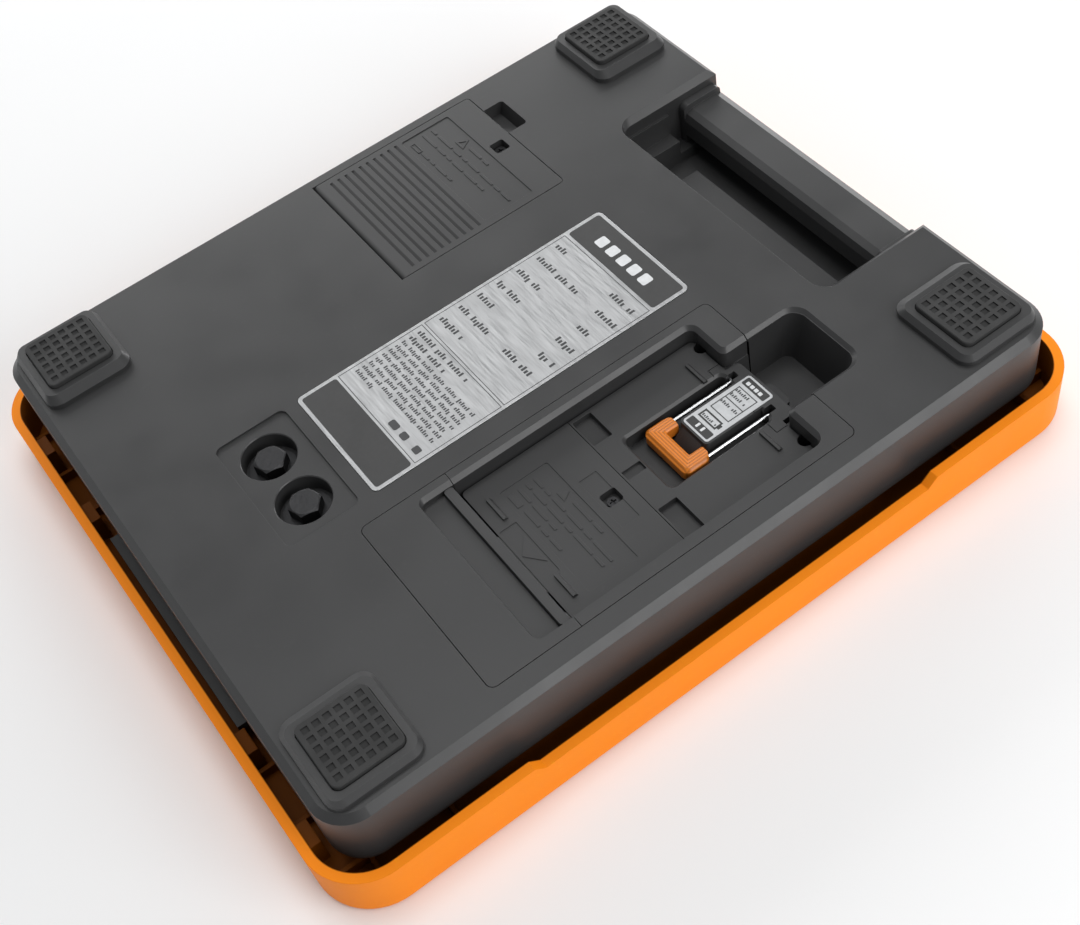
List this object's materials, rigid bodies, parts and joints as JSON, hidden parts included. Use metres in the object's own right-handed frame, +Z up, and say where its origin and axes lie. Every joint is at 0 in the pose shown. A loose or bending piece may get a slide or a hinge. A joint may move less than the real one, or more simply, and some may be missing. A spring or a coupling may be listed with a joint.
{
  "type": "platform scale",
  "caption": "Flat charging scale lying on its orange weighing platform, with a grip, rubber feet, battery door and a docked handheld display with a hanging hook.",
  "frame": {"origin": "on the floor under the middle of the weighing platform, which lies face down; the underside and its feet point up. Turn the part 180 degrees about X to stand it on its feet", "axes": "+X towards the grip end, +Y towards the side with the base battery door, +Z up out of the underside"},
  "size_m": [0.32, 0.272, 0.0527],
  "materials": {
    "dark_shell": "fine matte moulded texture, dark grey",
    "dark_inner": "plain moulded, near black",
    "orange_shell": "satin moulded orange",
    "orange_grip": "satin moulded orange",
    "rubber_pad": "soft matte dark grey rubber",
    "rubber_black": "plain black rubber",
    "bolt_steel": "dark coated steel",
    "zinc_steel": "zinc-plated steel",
    "bright_steel": "bright drawn wire",
    "cell_alloy": "milled aluminium alloy",
    "label_silver": "brushed silver foil with dark printed blocks",
    "battery_wrap": "printed sleeve, no lettering",
    "contact_metal": "nickel-plated spring steel",
    "board_green": "green solder mask",
    "cable_grey": "grey cable jacket",
    "lens_clear": "clear acrylic window",
    "display_grey": "grey-green reflective display",
    "key_rubber": "grey silicone key"
  },
  "bodies": {
    "base": {"base_housing": "dark_shell", "handle_grip": "dark_shell", "grip_pins": "zinc_steel", "foot_pads": "rubber_pad", "cell_bolts": "bolt_steel", "cell_washers": "bolt_steel", "load_cell": "cell_alloy", "cell_plate": "zinc_steel", "base_cover": "dark_inner", "cover_screws": "zinc_steel", "battery_tray": "dark_inner", "tray_screws": "zinc_steel", "aa_cells": "battery_wrap", "tray_springs": "contact_metal", "tray_tabs": "contact_metal", "rating_label": "label_silver", "dock_insert": "dark_shell", "dock_end_cover": "dark_shell", "latch_springs": "contact_metal", "latch_spring_seat": "dark_inner", "main_board": "board_green", "radio_module": "contact_metal", "board_screws": "zinc_steel", "load_cell_cable": "cable_grey"},
    "platform": {"platform_tray": "orange_shell", "platform_spider": "zinc_steel", "spider_screws": "zinc_steel", "platform_bolts": "zinc_steel", "overload_stops": "rubber_black"},
    "battery_door": {"battery_door": "dark_shell", "door_screw": "bolt_steel"},
    "latch": {"dock_latch_bar": "dark_shell"},
    "controller": {"ctrl_front": "dark_shell", "ctrl_back": "dark_shell", "ctrl_lens": "lens_clear", "ctrl_display": "display_grey", "ctrl_board": "board_green", "ctrl_switches": "contact_metal", "ctrl_label": "label_silver", "aaa_cells": "battery_wrap", "ctrl_springs": "contact_metal", "ctrl_tabs": "contact_metal"},
    "controller_door": {"ctrl_battery_door": "dark_shell", "ctrl_door_screw": "bolt_steel"},
    "bail": {"bail_wire": "bright_steel", "bail_grip": "orange_grip"},
    "key_power": {"key_power": "key_rubber"},
    "key_zero": {"key_zero": "key_rubber"},
    "key_unit": {"key_unit": "key_rubber"},
    "key_hold": {"key_hold": "key_rubber"}
  },
  "joints": [
    {"name": "platform_deflection", "type": "slide", "parent": "base", "child": "platform", "axis": [0, 0, 1], "range_m": [0, 0.0008], "stiffness_N_per_m": 40000},
    {"name": "battery_door_hinge", "type": "hinge", "parent": "base", "child": "battery_door", "pos_m": [-0.0086, 0.0857, 0.0442], "axis": [0, -1, 0], "range_deg": [0, 95]},
    {"name": "latch_slide", "type": "slide", "parent": "base", "child": "latch", "axis": [-1, 0, 0], "range_m": [0, 0.0012], "stiffness_N_per_m": 600},
    {"name": "controller_lift", "type": "slide", "parent": "base", "child": "controller", "axis": [0, 0, 1], "range_m": [0, 0.06]},
    {"name": "controller_door_lift", "type": "slide", "parent": "controller", "child": "controller_door", "axis": [0, 0, 1], "range_m": [0, 0.03]},
    {"name": "bail_pivot", "type": "hinge", "parent": "controller", "child": "bail", "pos_m": [0.0546, -0.0752, 0.036], "axis": [0, 1, 0], "range_deg": [0, 104]},
    {"name": "key_power_press", "type": "slide", "parent": "controller", "child": "key_power", "axis": [0, 0, 1], "range_m": [0, 0.0008], "stiffness_N_per_m": 900},
    {"name": "key_zero_press", "type": "slide", "parent": "controller", "child": "key_zero", "axis": [0, 0, 1], "range_m": [0, 0.0008], "stiffness_N_per_m": 900},
    {"name": "key_unit_press", "type": "slide", "parent": "controller", "child": "key_unit", "axis": [0, 0, 1], "range_m": [0, 0.0008], "stiffness_N_per_m": 900},
    {"name": "key_hold_press", "type": "slide", "parent": "controller", "child": "key_hold", "axis": [0, 0, 1], "range_m": [0, 0.0008], "stiffness_N_per_m": 900}
  ]
}
